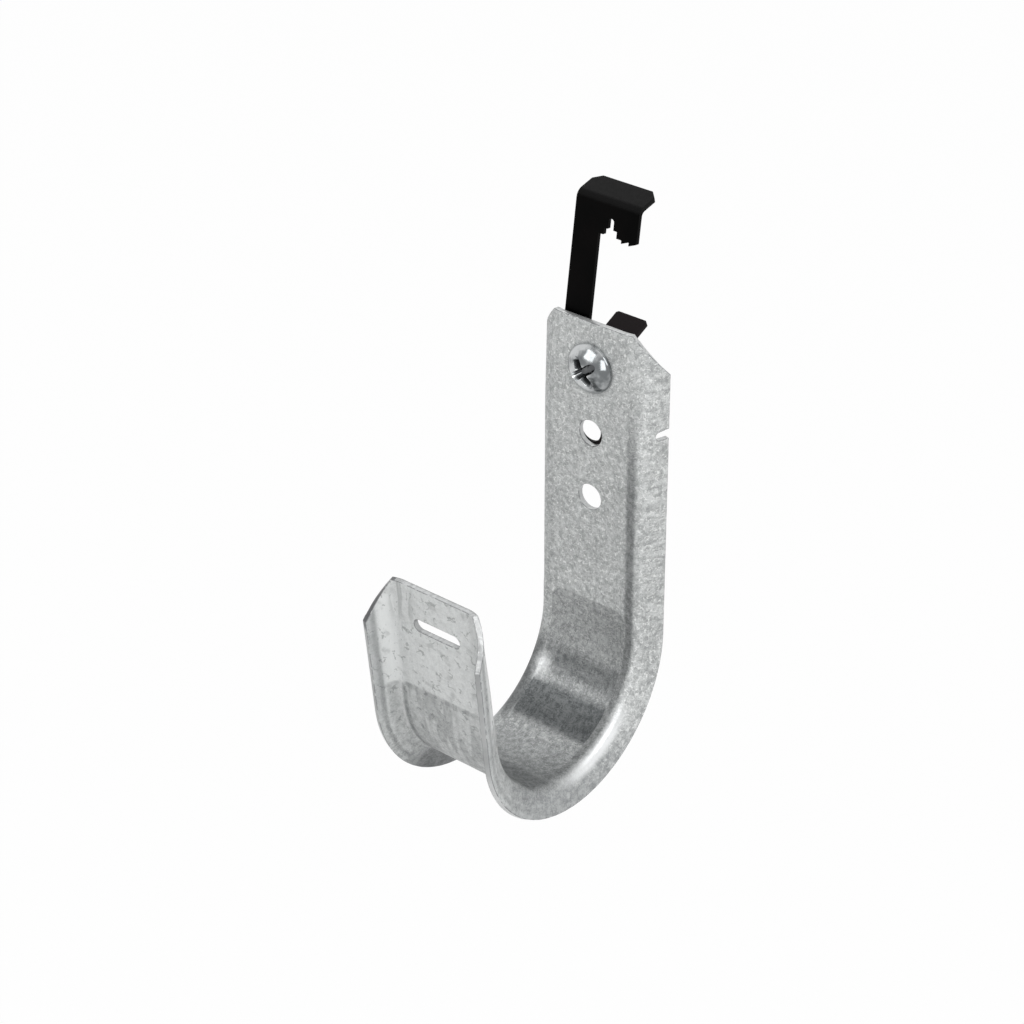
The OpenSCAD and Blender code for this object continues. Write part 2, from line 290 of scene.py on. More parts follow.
def keep_flat_places(obj):
    """Writes each corner's place on the flat blank into a UV map."""
    layer = obj.data.uv_layers.new(name="flat")
    corner_vertex = np.empty(len(obj.data.loops), dtype=int)
    obj.data.loops.foreach_get("vertex_index", corner_vertex)
    places = np.empty(len(obj.data.vertices) * 3)
    obj.data.vertices.foreach_get("co", places)
    layer.data.foreach_set("uv", (places.reshape(-1, 3)[corner_vertex, :2] * FLAT).ravel())


def mark_cut_faces(obj):
    """An attribute: 0 on the rolled faces, 0.5 on the broken arrises, 1 on the cut faces."""
    upright = np.empty(len(obj.data.polygons) * 3)
    obj.data.polygons.foreach_get("normal", upright)
    layer = obj.data.attributes.new("cut_face", "FLOAT", "FACE")
    slope = np.abs(upright.reshape(-1, 3)[:, 2])
    layer.data.foreach_set("value", 0.5 * (slope < 0.97) + 0.5 * (slope < 0.25))


while hook.data.uv_layers:
    hook.data.uv_layers.remove(hook.data.uv_layers[0])
keep_flat_places(hook)
mark_cut_faces(hook)
print("flat map:", len(hook.data.uv_layers["flat"].data), "corners")

# %% [markdown]
# ## Forming the hook
# Two rules place each point. The first turns the flat width into the channel section: web, bend,
# flange, and a rim that is set a little further. The bend is wide at the strap's and the lip's
# ends, where the flange fades out, and tight round the saddle, where the die pressed it. The
# second rule carries that section down the strap, round the loop and up the leaning lip. The
# die also leaves its print, a panel that is pressed in by a hair along the whole saddle.

# %% Section rule
def smooth(low, high, x):
    """Runs softly from 0 at low to 1 at high."""
    t = np.clip((x - low) / (high - low), 0, 1)
    return t * t * (3 - 2 * t)


PRESS_TOP = STRAP_TOP + 28.2                    # where the press begins and ends along the blank
PRESS_END = BLANK_LENGTH - LIP + 7.4
TOP_BEND, MID_BEND, LOW_BEND = 9.5, 5.1, 3.8    # bend radii down the strap
LIP_BEND, LIP_END_BEND = 4.6, 7.8               # bend radii up the lip
PRESSED_BEND = 2.7                              # the tight bend that the die leaves
RIM_TURN, RIM_WIDTH, RIM_SOFT = math.radians(9), 3.0, 0.3
PRINT_R, PRINT_DEEP = 4.5, 0.14
PRINT_SIDE = CORNER - 2.6                       # the print's edge, from the middle line


def bend_radius(v):
    """Radius of the flange bends at each place along the blank."""
    strap = TOP_BEND - (TOP_BEND - MID_BEND) * smooth(0, 30, v)
    strap = strap - (MID_BEND - LOW_BEND) * smooth(30, 70, v)
    lip = LIP_BEND + (LIP_END_BEND - LIP_BEND) * smooth(12, LIP - 4, v - (BLANK_LENGTH - LIP))
    middle = STRAP_RUN + ARC_RUN / 2
    plain = np.where(v < middle, strap, lip)
    pressed = smooth(PRESS_TOP - 0.6, PRESS_TOP + 2.2, v)
    pressed = pressed * (1 - smooth(PRESS_END - 1.6, PRESS_END + 0.5, v))
    return plain * (1 - pressed) + PRESSED_BEND * pressed


def section(s, depth, v):
    """Place across and away from the cables, of a point s from the middle and depth deep."""
    r = bend_radius(v)
    side, s = np.sign(s), np.abs(s)
    setback = r * math.tan(FLANGE_TURN / 2)
    half = CORNER + FLANGE - 2 * setback + r * FLANGE_TURN
    s = s * half / HALF_BLANK
    web = CORNER - setback
    turn = np.clip((s - web) / r, 0, FLANGE_TURN)
    flat = np.maximum(0, s - web - r * FLANGE_TURN)
    x = np.minimum(s, web) + r * np.sin(turn) + flat * np.cos(turn)
    y = r * (1 - np.cos(turn)) + flat * np.sin(turn)
    # the rim, turned a little more about a line that runs inside the edge
    over = np.maximum(0, s - half + RIM_WIDTH)
    over = np.sqrt(over ** 2 + RIM_SOFT ** 2) - RIM_SOFT
    x = x - over * RIM_TURN * np.sin(turn)
    y = y + over * RIM_TURN * np.cos(turn)
    lean = turn + RIM_TURN * smooth(0, 0.8, over)
    return side * (x - depth * np.sin(lean)), y + depth * np.cos(lean)


def die_print(s, v):
    """1 inside the die's print and 0 outside. The print is a long panel with round corners."""
    across = np.maximum(np.abs(s) - (PRINT_SIDE - PRINT_R), 0)
    along = np.maximum(np.maximum(PRESS_TOP + PRINT_R - v, v - PRESS_END + PRINT_R), 0)
    return smooth(0, 0.9, PRINT_R - np.hypot(across, along))


def hook_rule(p):
    """Where each point of the flat blank goes, in millimetres."""
    v = p[:, 1]
    x, y = section(p[:, 0], p[:, 2], v)
    y = y + PRINT_DEEP * die_print(p[:, 0], v)
    around = np.clip((v - STRAP_RUN) / LOOP_R, 0, math.pi - LEAN)
    up_lip = np.maximum(0, v - STRAP_RUN - ARC_RUN)
    radial_y, radial_z = np.cos(around), -np.sin(around)
    skin = LOOP_R + y
    place_y = -LOOP_R + skin * radial_y - up_lip * np.sin(around)
    place_z = LOOP_Z + skin * radial_z - up_lip * np.cos(around) + np.maximum(0, STRAP_RUN - v)
    return np.stack([x, place_y, place_z], 1)


form(hook, hook_rule)
finish_mesh(hook, "hook_sheet")
print("hook sheet from", [round(min(v.co[i] for v in hook.data.vertices) / MM, 1) for i in range(3)])

# %% [markdown]
# ## The screw
# A screw's head is struck from wire in one blow, so its form is a turned one: the same profile
# all round. The profile is drawn ring by ring from one circle. The cross recess is punched by a
# tapered cross, and the thread is rolled: a ridge that winds round the shank.

# %% Turned form and screw head
def turned(profile, sides=72):
    """A solid of rings: each pair is a radius and a height, from the bottom to the top."""
    radius, height = profile[0]
    bpy.ops.mesh.primitive_circle_add(vertices=sides, radius=radius, fill_type="NGON",
                                      location=(0, 0, height))
    obj = settle(bpy.context.active_object)
    bpy.ops.object.mode_set(mode="EDIT")
    bpy.ops.mesh.select_all(action="SELECT")
    for new_radius, new_height in profile[1:]:
        bpy.ops.mesh.extrude_region_move(TRANSFORM_OT_translate={"value": (0, 0, new_height - height)})
        bpy.ops.transform.resize(value=(new_radius / radius, new_radius / radius, 1),
                                 center_override=(0, 0, 0))
        radius, height = new_radius, new_height
    leave()
    return obj


HEAD_R, HEAD_H, HEAD_RIM = 6.25, 4.0, 0.9
DOME_R = (HEAD_R ** 2 + (HEAD_H - HEAD_RIM) ** 2) / (2 * (HEAD_H - HEAD_RIM))
dome_rings = (6.05, 5.7, 5.2, 4.6, 3.9, 3.1, 2.2, 1.2, 0.3)
dome = [(r, HEAD_H - DOME_R + math.sqrt(DOME_R ** 2 - r * r)) for r in dome_rings]
rim = [(HEAD_R - 0.3, 0), (HEAD_R - 0.05, 0.12), (HEAD_R, 0.3), (HEAD_R, HEAD_RIM - 0.1)]
head = turned(rim + dome)


def cross_punch(tip, waist, deep, turn):
    """A tapered post with four rounded wings. tip and waist are its radii at the mouth."""
    bpy.ops.mesh.primitive_cone_add(vertices=128, radius1=0.5, radius2=1, depth=deep + 1,
                                    location=(0, 0, HEAD_H + (1 - deep) / 2))
    post = settle(bpy.context.active_object)
    turn = math.radians(turn)

    def wings(p):
        angle, size = np.arctan2(p[:, 1], p[:, 0]) - turn, np.hypot(p[:, 0], p[:, 1])
        reach = size * (waist + (tip - waist) * (0.5 + 0.5 * np.cos(4 * angle)) ** 1.1)
        angle = angle + turn
        return np.stack([reach * np.cos(angle), reach * np.sin(angle), p[:, 2]], 1)

    form(post, wings)
    return post


cut_away(head, cross_punch(tip=5.4, waist=1.9, deep=3.2, turn=37))
apply_modifier(head, "BEVEL", limit_method="ANGLE", angle_limit=math.radians(42),
               width=0.09, segments=2, use_clamp_overlap=True)
print("head:", len(head.data.polygons), "faces")

# %% Shank and rolled thread
SHANK_R, ROOT_R, PITCH = 3.1, 2.55, 1.27
CORE_R = ROOT_R + 0.2
CREST = 0.16              # the ridge's width at its crest, as a share of its foot
SHANK_END = 9.5
shank = turned([(ROOT_R, -SHANK_END), (CORE_R, -SHANK_END + 0.3), (CORE_R, 0.2)], sides=48)
bpy.ops.mesh.primitive_plane_add(size=1)
ridge = settle(bpy.context.active_object)
form(ridge, lambda p: np.stack([np.where(p[:, 1] > 0, SHANK_R, ROOT_R), 0 * p[:, 0],
                                p[:, 0] * np.where(p[:, 1] > 0, CREST, 1.0)], 1))
form(ridge, lambda p: p + np.array([0, 0, -SHANK_END + 0.75]))
turns = int((SHANK_END - 0.9) / PITCH)
apply_modifier(ridge, "SCREW", axis="Z", angle=2 * math.pi * turns, screw_offset=PITCH * turns,
               steps=40 * turns, render_steps=40 * turns, use_merge_vertices=False)
only(head)
shank.select_set(True)
ridge.select_set(True)
bpy.ops.object.join()
screw = head
form(screw, lambda p: np.stack([p[:, 0], -p[:, 2], p[:, 1] + 2 * HOLE_PITCH], 1))
finish_mesh(screw, "pan_head_screw", 35)

# %% [markdown]
# ## The beam clip and the nut
# The clip is blanked and folded from spring steel, then tumbled in a drum before it is hardened
# and blackened, so none of its edges is quite sharp. Its solid has the right form, so a copy of
# it is merged into whole faces and only its edges are broken: they catch the light as thin
# lines. The nut, which is cold formed, gets the same.

# %% Broken edges on the clip and the nut
def tumbled(node, name, edge):
    """A copy of a solid with its edges broken by a small bevel."""
    piece = bpy.data.objects.new(name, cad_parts[node].data.copy())
    bpy.context.scene.collection.objects.link(piece)
    form(piece, lambda p: p / MM)
    edit(piece)
    bpy.ops.object.mode_set(mode="EDIT")
    bpy.ops.mesh.select_all(action="SELECT")
    bpy.ops.mesh.remove_doubles(threshold=0.001)
    bpy.ops.mesh.dissolve_limited(angle_limit=math.radians(0.3))
    leave()
    apply_modifier(piece, "BEVEL", limit_method="ANGLE", angle_limit=math.radians(40), width=edge,
                   segments=2, use_clamp_overlap=False, miter_outer="MITER_ARC")
    finish_mesh(piece, name, 35)
    apply_modifier(piece, "WEIGHTED_NORMAL", mode="FACE_AREA", weight=80, keep_sharp=True)
    return piece


clip = tumbled("beam_clip", "spring_clip", 0.10)
nut = tumbled("hex_nut", "plain_hex_nut", 0.10)

# %% [markdown]
# ## Shader maths
# One small class wraps a socket, so that maths on it reads like plain arithmetic. A second one
# adds nodes to a tree, one call at a time, and a third is a material with its main shader.

# %% Shader helpers
class Value:
    """A number that comes out of a node's socket."""
    def __init__(self, maker, socket):
        self.maker, self.socket = maker, socket

    def _math(self, operation, *args):
        return self.maker.node("Math", {"operation": operation}, *args)

    def __add__(self, other): return self._math("ADD", self, other)
    __radd__ = __add__
    def __mul__(self, other): return self._math("MULTIPLY", self, other)
    __rmul__ = __mul__
    def __sub__(self, other): return self._math("SUBTRACT", self, other)
    def __rsub__(self, other): return self._math("SUBTRACT", other, self)
    def __pow__(self, other): return self._math("POWER", self, other)
    def __abs__(self): return self._math("ABSOLUTE", self)
    def most(self, other): return self._math("MAXIMUM", self, other)
    def least(self, other): return self._math("MINIMUM", self, other)

    def step(self, low, high, to_low=0, to_high=1):
        """Runs smoothly from to_low to to_high as the value goes from low to high."""
        return self.maker.node("MapRange", {"interpolation_type": "SMOOTHSTEP"},
                               self, low, high, to_low, to_high)


class Nodes:
    """A node tree whose nodes are added one call at a time."""
    def __init__(self, tree):
        self.tree = tree

    def feed(self, socket, value):
        """Links a value to a socket, or sets the socket to a plain number or colour."""
        if isinstance(value, Value):
            self.tree.links.new(value.socket, socket)
        elif value is not None:
            socket.default_value = value

    def node(self, kind, settings=None, *inputs, out=0, **named):
        """Adds a node with its settings and inputs, and gives one of its outputs."""
        made = self.tree.nodes.new("ShaderNode" + kind)
        for key, value in (settings or {}).items():
            setattr(made, key, value)
        for socket, value in zip(made.inputs, inputs):
            self.feed(socket, value)
        for key, value in named.items():
            self.feed(made.inputs[key], value)
        return Value(self, made.outputs[out])

    def mix(self, factor, low, high):
        """Mixes two colours."""
        made = self.tree.nodes.new("ShaderNodeMix")
        made.data_type = "RGBA"
        for socket, value in zip((made.inputs[0], made.inputs[6], made.inputs[7]), (factor, low, high)):
            self.feed(socket, (*value, 1) if isinstance(value, tuple) and len(value) == 3 else value)
        return Value(self, made.outputs[2])

    def noise(self, place, scale, detail, rough=0.5):
        return self.node("TexNoise", None, Vector=place, Scale=scale, Detail=detail, Roughness=rough)

    def stretch(self, place, times):
        """A place whose parts are multiplied, one number for each direction."""
        return self.node("VectorMath", {"operation": "MULTIPLY"}, place, (*times, 1.0))

    def streaks(self, place, scales, detail, rough=0.5):
        """Noise that is drawn out, because its scale is not the same in both directions."""
        return self.noise(self.stretch(place, scales), 1.0, detail, rough)

    def split(self, place):
        """The parts of a place, as separate numbers."""
        made = self.node("SeparateXYZ", None, place)
        return [Value(self, s) for s in made.socket.node.outputs]

    def seen_directly(self):
        """1 for what the camera, a mirror or glass looks at, and 0 for light that is only cast."""
        rays = [self.node("LightPath", None, out=out) for out in (0, 3, 6)]
        return rays[0].most(rays[1]).most(rays[2])


class Finish(Nodes):
    """A material with one main shader."""
    def __init__(self, name):
        self.material = bpy.data.materials.new(name)
        self.material.use_nodes = True
        super().__init__(self.material.node_tree)
        self.shader = self.tree.nodes["Principled BSDF"]

    def set(self, **sockets):
        """Feeds the main shader's sockets by their names, and gives the material."""
        for key, value in sockets.items():
            self.feed(self.shader.inputs[key.replace("_", " ")], value)
        return self.material

# %% [markdown]
# ## Galvanised sheet
# Hot-dipped zinc is a matt metal with a soft spangle. One noise that is drawn out a little gives
# the mottled crystals, a finer one the grain, soft cells the flakes and a slow one the clouds.
# All of it lies on the flat map, so it follows the sheet round its bends. There, 0.01 is a
# millimetre: across counts from the middle line, along from the strap's top to the lip's.

# %% Spangle
def spangle(f, flat):
    """The mottled tone of the zinc, from 0 for dark crystals to 1 for light ones."""
    crystal_place = f.stretch(flat, (1.0, 0.8))
    crystal = f.noise(crystal_place, 75.0, 7, 0.78)
    grain = f.noise(flat, 240.0, 3, 0.65)
    cloud = f.noise(flat, 9.0, 3)
    flake = f.node("TexVoronoi", {"feature": "SMOOTH_F1"},
                   Vector=crystal_place, Scale=70.0, Smoothness=0.35)
    mottled = crystal.step(0.3, 0.7) * 0.46 + grain.step(0.25, 0.75) * 0.34 + flake * 0.20
    return mottled * 0.78 + cloud * 0.22

# %% [markdown]
# Most marks on the sheet are soft-edged bands or rectangles of the flat blank, so two helpers
# draw them. The die's print has round corners at the strap's end, worked out by the same rule
# that presses it into the mesh.

# %% Bands, zones and the die's print
def band(value, low, high, soft=0.012):
    """1 between two places, fading out softly at both."""
    return value.step(low - soft, low + soft) * value.step(high - soft, high + soft, 1, 0)


def zone(across, along, sides, ends, soft):
    """1 inside a rectangle of the blank. soft is the fade at its sides and at its ends."""
    return band(across, *sides, soft[0]) * band(along, *ends, soft[1])


def inside_print(across, along):
    """1 inside the die's print, by the same rounded panel as the pressed step."""
    radius, top, end = PRINT_R * FLAT, PRESS_TOP * FLAT, PRESS_END * FLAT
    side = (abs(across) - PRINT_SIDE * FLAT + radius).most(0)
    ends = (top + radius - along).most(along - end + radius).most(0)
    return (radius - (side * side + ends * ends) ** 0.5).step(0.0, 0.008)

# %% [markdown]
# Inside the print the zinc is drawn darker and shinier. Two darker bands across it in the saddle,
# and its darker low part, are painted shade. Faint streaks run along it on the lip, where the print
# is wider and has a square end, and the dark line along that end is painted shade too.

# %% The die's print, with painted shade in the saddle
def print_and_saddle_shade(f, flat, across, edgeward, along, lipward):
    """Where the die has pressed, how much it is drawn darker and shinier there, bands of painted shade
    included, and how unevenly.
    """
    print_end = PRESS_END * FLAT
    lip_print = band(edgeward, -1, 0.182, 0.006) * lipward
    lip_print = lip_print * along.step(print_end + 0.004, print_end - 0.004)
    pressed = inside_print(across, along).most(lip_print)
    wiped = f.streaks(flat, (14.0, 60.0), 4, 0.6)
    drawn = f.streaks(flat, (34.0, 6.0), 2)

    # painted shade: two dark bands across the saddle
    upper_shade_band, lower_shade_band = band(along, 0.905, 0.97, 0.02), band(along, 1.00, 1.10, 0.025)
    print_and_shade = pressed * (0.30 + upper_shade_band * 0.45 + lower_shade_band * 0.95 + 0.3 * wiped)
    print_and_shade = print_and_shade.least(1.1) * along.step(1.14, 1.08, 0.62, 1)
    # painted shade: the saddle's low part is darker still
    print_and_shade = print_and_shade + pressed * band(along, 1.13, 1.32, 0.03) * 0.30
    lip_print = lip_print * edgeward.step(0.115, 0.15, 1, 0.45)
    lip_print = lip_print * (0.05 + drawn.step(0.44, 0.56) * 0.29)
    # painted shade: a dark line along the print's end on the lip
    end_line_shade = band(along, print_end - 0.014, print_end, 0.004) * edgeward.step(0.13, 0.11)
    print_and_shade = print_and_shade * (1 - 0.55 * lipward) + lip_print + end_line_shade * 0.14
    return pressed, print_and_shade, wiped

# %% [markdown]
# Painted shade darkens the bends where they begin, the saddle's corners and round its low part.
# A fine dark line along the rim's bend is painted shade too, and two places on the saddle's bends
# get painted highlights.

# %% Painted shade and highlights on the bends
def painted_bend_shade(across, edgeward, along, lipward):
    """How much painted shade darkens the bends: 0 is plain zinc, about 1 the darkest."""
    print_end = PRESS_END * FLAT
    start = band(edgeward, 0.109, 0.133, 0.007) * across.step(-0.05, 0.05, 0.2, 1)
    start = start * along.step(0.10, 0.42) * along.step(1.55, 1.35)
    tight = band(edgeward, 0.118, 0.138, 0.010) * lipward
    tight = tight * along.step(print_end + 0.01, print_end - 0.03)
    lip_bend = band(edgeward, 0.105, 0.150, 0.02) * along.step(1.60, 1.66)
    low_part = zone(across, along, (-0.30, 0.150), (1.245, 1.385), (0.015, 0.03))
    corners = zone(edgeward, along, (0.080, 0.138), (0.90, 1.14), (0.022, 0.06))
    right_corner = zone(across, along, (0.085, 0.142), (1.16, 1.36), (0.020, 0.05))
    left_bend = zone(across, along, (-0.230, -0.110), (0.89, 1.13), (0.008, 0.05))
    left_side = zone(across, along, (-0.170, -0.088), (1.00, 1.10), (0.010, 0.03))
    # painted shade on the bends, in the saddle's corners and round its low part
    dark = start
    for part, weight in ((tight, 0.85), (lip_bend, 0.16), (low_part, 1.1), (corners, 0.75),
                         (right_corner, 0.9), (left_bend, 1.3), (left_side, 1.3)):
        dark = dark.most(part * weight)
    return dark


def painted_bend_highlights(across, edgeward, along):
    """A painted highlight along the saddle's bends, where the zinc is also smoother, and one on its
    left bend.
    """
    polish_and_highlight = zone(edgeward, along, (0.138, 0.168), (1.00, 1.20), (0.010, 0.06))
    left_bend_highlight = zone(across, along, (-0.125, -0.085), (0.935, 0.985), (0.022, 0.03))
    return polish_and_highlight, left_bend_highlight

# %% [markdown]
# Handling leaves small curved nicks and smudges, mostly on the lip. The crystals' glints on the
# strap are painted highlights, its flanges are rippled, and the lip's left bend is creased along
# its length, with painted shade in the creases.

# %% Nicks, glints and ripples
def nicks_and_smudges(f, flat, along):
    """Dark scratches with a curl, and soft dark spots."""
    on_lip = along.step(1.35, 1.6)
    curl, place = f.noise(flat, 36.0, 2), f.noise(flat, 44.0, 2)
    nick = abs(curl - 0.5).step(0.045, 0.010) * place.step(0.53, 0.60) * (0.1 + 0.9 * on_lip)
    smudge = f.noise(flat, 26.0, 3, 0.55).step(0.56, 0.70) * on_lip
    return nick, smudge


def painted_glints(f, flat, along):
    """Thin painted highlights: glints between the crystals of the strap."""
    line = abs(f.noise(flat, 75.0, 2) - 0.5).step(0.05, 0.010)
    return line * f.noise(flat, 95.0, 1).step(0.47, 0.57) * along.step(1.30, 1.10)


def ripples(f, flat, across, edgeward, along):
    """The ripple of the strap's flanges, and the creases in the lip's left bend, with their painted
    shade.
    """
    ripple = f.streaks(flat, (16.0, 48.0), 4, 0.62).step(0.34, 0.66, -1, 1)
    ripple = ripple * band(edgeward, 0.150, 0.40, 0.012) * along.step(1.55, 1.35)
    crease_and_shade = f.streaks(flat, (48.0, 6.0), 1).step(0.52, 0.60)
    crease_and_shade = crease_and_shade * band(across, -0.14, -0.07, 0.012) * along.step(1.80, 1.87)
    return ripple, crease_and_shade

# %% [markdown]
# The sheared faces show bare steel with fine streaks. On the lip they get painted shade, most of
# all at its left corner, and their arrises get painted light and shade: dark and light flecks.

# %% Sheared edges
def sheared_edges(f, flat, across, along):
    """Colours of the cut faces and the painted light and shade of their arrises, and where each of the
    two is.
    """
    cut = f.node("Attribute", {"attribute_name": "cut_face"}, out=2)
    bare, arris = cut.step(0.7, 0.9), band(cut, 0.35, 0.65, 0.1)
    streak = f.streaks(flat, (110.0, 9.0), 3, 0.6)
    steel = f.mix(streak.step(0.3, 0.7), (0.44, 0.45, 0.45), (0.60, 0.61, 0.61))
    lip_corners = along.step(1.80, 1.83)
    left = band(across, -0.40, -0.118, 0.003) * lip_corners
    right = band(across, 0.118, 0.40, 0.003) * lip_corners
    # painted shade on the lip's cut faces, most of all at its left corner
    darker = (left * 0.85).most(right * 0.3).most(along.step(1.50, 1.60) * 0.28)
    steel = f.mix(darker, steel, (0.04, 0.042, 0.045))
    # painted light and shade: dark and light flecks along the arrises
    arris_noise = f.noise(flat, 55.0, 2).step(0.50, 0.64)
    arris_light_and_shade = f.mix(arris_noise, (0.10, 0.105, 0.11), (0.55, 0.56, 0.56))
    return steel, arris_light_and_shade, bare, arris

# %% [markdown]
# The finish puts these layers on each other, from the plain zinc up to the sheared steel. Inside
# the print, its painted bands included, the zinc is darker, smoother and more of a mirror, and the
# painted shade of the bends and the rim darkens it too.

# %% Galvanised finish
def galvanised():
    f = Finish("galvanised_sheet")
    flat = f.node("UVMap", {"uv_map": "flat"})
    across, along = f.split(flat)[:2]
    edgeward, lipward = abs(across), along.step(1.30, 1.42)
    tone = spangle(f, flat)
    pressed, print_and_shade, wiped = print_and_saddle_shade(f, flat, across, edgeward, along, lipward)
    dark = painted_bend_shade(across, edgeward, along, lipward)
    polish_and_highlight, left_bend_highlight = painted_bend_highlights(across, edgeward, along)
    nick, smudge = nicks_and_smudges(f, flat, along)
    ripple, crease_and_shade = ripples(f, flat, across, edgeward, along)
    steel, arris_light_and_shade, bare, arris = sheared_edges(f, flat, across, along)
    # painted shade: the saddle's flanges and the lip's turned rim
    under_saddle_shade = zone(edgeward, along, (0.150, 0.40), (1.05, 1.42), (0.01, 0.08))
    lip_rim_shade = band(edgeward, 0.186, 0.40, 0.005) * along.step(1.50, 1.60)
    # painted highlight on the lip's flanges
    lip_flange_highlight = band(edgeward, 0.128, 0.180, 0.008) * along.step(1.60, 1.66)
    # painted shade: a fine dark line along the rim's bend, stronger on the lip
    rim_bend_shade = band(edgeward, 0.189, 0.202, 0.005) * (0.12 + 0.5 * along.step(1.25, 1.5))

    zinc = f.mix((tone + ripple * 0.10).step(0.25, 0.75), (0.315, 0.325, 0.325), (0.62, 0.635, 0.63))
    # painted glints on the strap's crystals
    zinc = f.mix(painted_glints(f, flat, along) * 0.6, zinc, (0.90, 0.91, 0.90))
    # the lip is drawn lighter than the strap, and its flanges lighter still as a painted highlight
    zinc = f.mix(along.step(1.40, 1.70) * 0.6 + lip_flange_highlight * 0.3, zinc, (0.74, 0.755, 0.75))
    # painted shade darkens the saddle's flanges and the lip's turned rim
    zinc = f.mix((under_saddle_shade * 0.34).most(lip_rim_shade * 0.26), zinc, (0.16, 0.17, 0.18))
    # painted highlights: a strip along the saddle's bends and a place on its left one
    zinc = f.mix(polish_and_highlight * 0.85, zinc, (0.90, 0.915, 0.92))
    zinc = f.mix(left_bend_highlight * 0.6, zinc, (0.86, 0.875, 0.88))
    # the creases' dark colour is painted shade; the nicks and smudges are marks on the zinc
    zinc = f.mix((nick * 0.5).most(crease_and_shade * 0.36).most(smudge * 0.26), zinc, (0.14, 0.15, 0.15))
    # the print and the painted shade of the bends and the rim darken the zinc
    print_and_shade_colour = f.mix(tone.step(0.3, 0.7), (0.056, 0.061, 0.063), (0.136, 0.143, 0.145))
    print_and_painted_shade = ((print_and_shade * 0.90).most(dark * 0.68) * (1 - 0.8 * left_bend_highlight)).most(rim_bend_shade * 0.5)
    zinc = f.mix(print_and_painted_shade, zinc, print_and_shade_colour)

    # the arrises get their painted light and shade
    colour = f.mix(arris * 0.7, f.mix(bare, zinc, steel), arris_light_and_shade)
    rough = tone.step(0.2, 0.8, 0.56, 0.44) * (1 - 0.22 * print_and_shade) * (1 - 0.35 * bare.most(polish_and_highlight))
    height = tone + ripple + 2.5 * crease_and_shade + 0.2 * wiped * pressed - 0.5 * nick
    bump = f.node("Bump", None, Strength=0.16, Distance=0.0004, Height=height)
    metal = (0.35 + 0.35 * print_and_shade).most(0.5 * bare)
    return f.set(Base_Color=colour, Metallic=metal, Roughness=rough, Normal=bump)

# %% [markdown]
# ## Black spring steel and bright plating
# Blackened steel is nearly black and satin, so it needs little more than a faint grain. The
# clip's tab is a shade lighter, and its top plate, which faces up, gets a painted highlight. The
# screw and the nut are plated: a smooth metal whose tone is clouded. The cross recess is told
# from the dome by its depth, and is painted dark as shade.

# %% Blackened and bright finishes
TAB_TOP = STRAP_TOP + 11                        # above the tab and below the toothed jaw


def black_oxide():
    """Blackened spring steel, a shade lighter on the tab, with a painted highlight on the top plate."""
    f = Finish("black_oxide_steel")
    place = f.node("TexCoord", None, out=3)
    x, y, z = f.split(place)
    grain = f.noise(place, 900.0, 4, 0.6)
    cloud = f.noise(place, 90.0, 3)
    colour = f.mix(cloud.step(0.3, 0.7), (0.0004, 0.0004, 0.0004), (0.0016, 0.0012, 0.0012))
    tab = x.step(0.0002, 0.0009) * z.step((TAB_TOP + 1) * MM, (TAB_TOP - 1) * MM)
    colour = f.mix(tab, colour, (0.0135, 0.0110, 0.0115))
    # painted highlight on the top plate, which faces up to the light
    plate = z.step((clip_high[2] - 2.8) * MM, (clip_high[2] - 1.8) * MM)
    colour = f.mix(plate * 0.5, colour, (0.0135, 0.0135, 0.0135))
    bump = f.node("Bump", None, Strength=0.08, Distance=0.0002, Height=grain)
    rough = grain.step(0.3, 0.7, 0.34, 0.42)
    f.set(Specular_IOR_Level=0.03)
    return f.set(Base_Color=colour, Metallic=0.0, Roughness=rough, Normal=bump)


def bright_zinc():
    """Bright plating with clouds in it, and painted shade in the screw's cross recess."""
    f = Finish("bright_zinc")
    place = f.node("TexCoord", None, out=3)
    cloud = f.noise(place, 200.0, 3)
    x, y, z = f.split(place)
    z = z - 2 * HOLE_PITCH * MM
    from_axis = x * x + z * z
    dome_top = ((DOME_R * MM) ** 2 - from_axis).most(0) ** 0.5
    deep = dome_top + (HEAD_H - DOME_R) * MM + y
    recess_shade = deep.step(0.0002, 0.0012) * from_axis.step((4.4 * MM) ** 2, (4.2 * MM) ** 2)
    colour = f.mix(cloud.step(0.38, 0.60), (0.17, 0.18, 0.185), (0.55, 0.565, 0.57))
    # painted shade in the cross recess
    colour = f.mix(recess_shade * 0.8, colour, (0.07, 0.072, 0.075))
    return f.set(Base_Color=colour, Metallic=1.0, Roughness=cloud.step(0.3, 0.7, 0.13, 0.20))

# %% [markdown]
# Each piece gets its finish, rides on the one body and stands for the solid that it replaces.

# %% Dressing the pieces
GALVANISED, BLACK, BRIGHT = galvanised(), black_oxide(), bright_zinc()


def dress(obj, material, node):
    """Gives a piece its one material, puts it on the body it rides on, and hides the solid that it
    stands for.
    """
    obj.data.materials.clear()
    obj.data.materials.append(material)
    for polygon in obj.data.polygons:
        polygon.material_index = 0
    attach(obj, ROOT)
    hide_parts(node)
    print(obj.name, "wears", material.name)


dress(hook, GALVANISED, "hook")
dress(screw, BRIGHT, "screw")
dress(clip, BLACK, "beam_clip")
dress(nut, BRIGHT, "hex_nut")

# %% [markdown]
# ## Floor, backdrop and light
# The hook hangs, so the pale floor lies some way below it. Where the camera or a mirror looks at
# the floor it is nearly white, and the rest of its finish keeps the soft shadow.

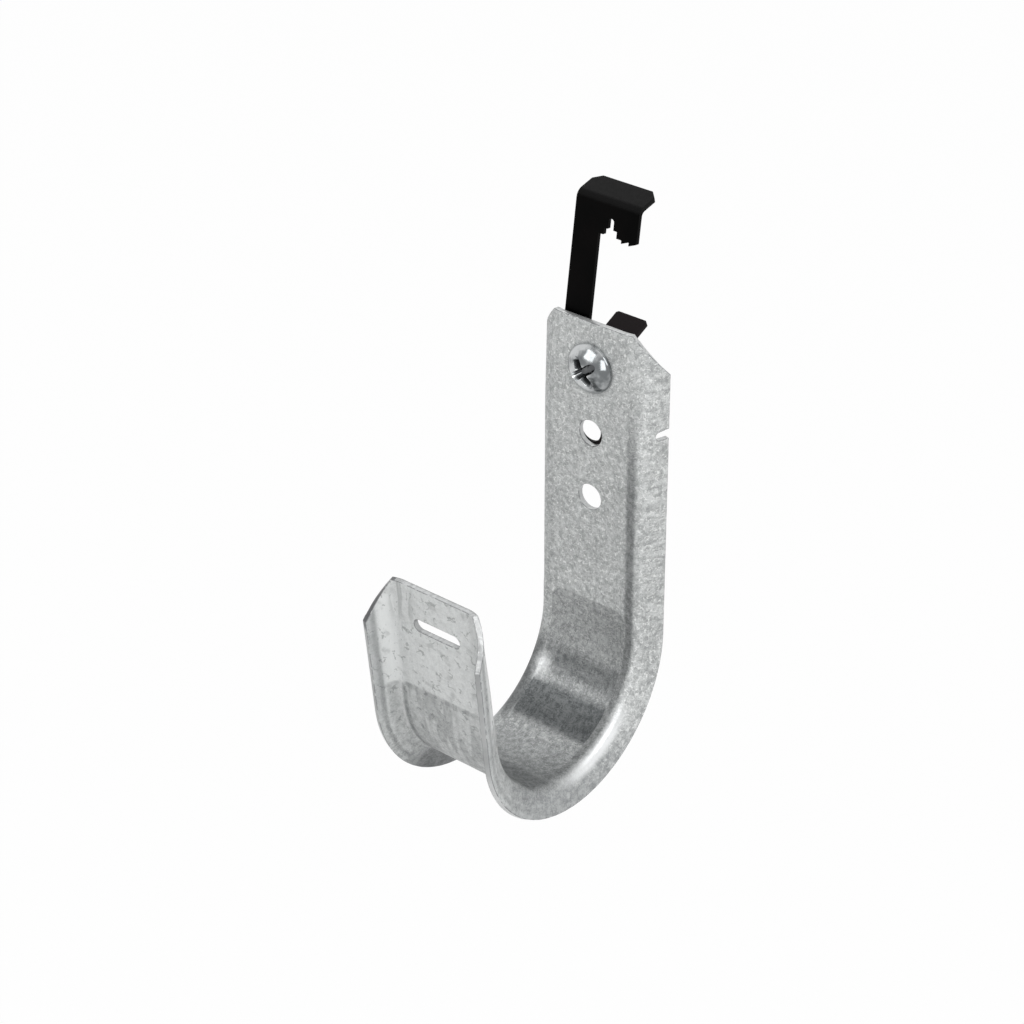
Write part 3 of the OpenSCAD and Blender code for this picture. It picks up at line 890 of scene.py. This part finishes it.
# %% Floor
FLOOR_Z = hook_low[2] - 70
bpy.ops.mesh.primitive_plane_add(size=6, location=(0, 0, FLOOR_Z * MM))
floor = settle(bpy.context.active_object, "floor")
paper = Finish("white_paper")
paper.set(Base_Color=(0.62, 0.62, 0.62, 1), Roughness=0.9)
plain = Value(paper, paper.shader.outputs[0])
shown = paper.node("MixShader", None, paper.seen_directly() * 0.98, plain, paper.node("Emission"))
paper.feed(paper.tree.nodes["Material Output"].inputs[0], shown)
floor.data.materials.append(paper.material)
print("floor at", round(FLOOR_Z, 1), "mm")

# %% [markdown]
# Four soft boxes light the hook: a large one from the front left, two from the right, one of
# them high up, and a weak one from behind.

# %% Soft boxes
LIT_PLACE = (0, -20, -10)


def soft_box(name, place, size, power):
    """A square lamp that faces the hook. Place and size in millimetres, power in watts."""
    bpy.ops.object.light_add(type="AREA", location=Vector(place) * MM)
    lamp = bpy.context.active_object
    lamp.name = name
    lamp.data.shape = "RECTANGLE"
    lamp.data.size, lamp.data.size_y = size[0] * MM, size[1] * MM
    lamp.data.energy = power
    lamp.rotation_euler = (Vector(LIT_PLACE) - Vector(place)).to_track_quat("-Z", "Y").to_euler()
    print(name, "lamp at", place, "mm,", power, "W")


soft_box("key", (-184, -685, 554), (560, 440), 2.9)
soft_box("side", (620, -640, 270), (300, 560), 2.6)
soft_box("high", (760, -140, 548), (520, 520), 3.25)
soft_box("rim", (-500, 324, 675), (380, 380), 0.7)

# %% [markdown]
# The world is a room that is brighter behind the hook than in front of it, and dimmer low down on
# the left. What the camera, a mirror or glass sees of it is a plain white backdrop instead.

# %% World
world = bpy.data.worlds.new("studio")
bpy.context.scene.world = world
world.use_nodes = True
sky = Nodes(world.node_tree)
to_right, behind, up = sky.split(sky.node("TexCoord"))
left_wall = to_right.step(-0.9, -0.3, 0.25, 1).most(up.step(0.1, 0.6))
room = sky.node("Background", None, Strength=behind.step(-0.3, 0.4, 0.10, 0.9) * left_wall)
backdrop = sky.node("Background", None, Strength=1.0, Color=(1, 1, 1, 1))
sky.feed(sky.tree.nodes["World Output"].inputs[0],
         sky.node("MixShader", None, sky.seen_directly(), room, backdrop))
bpy.context.scene.view_settings.view_transform = "Standard"
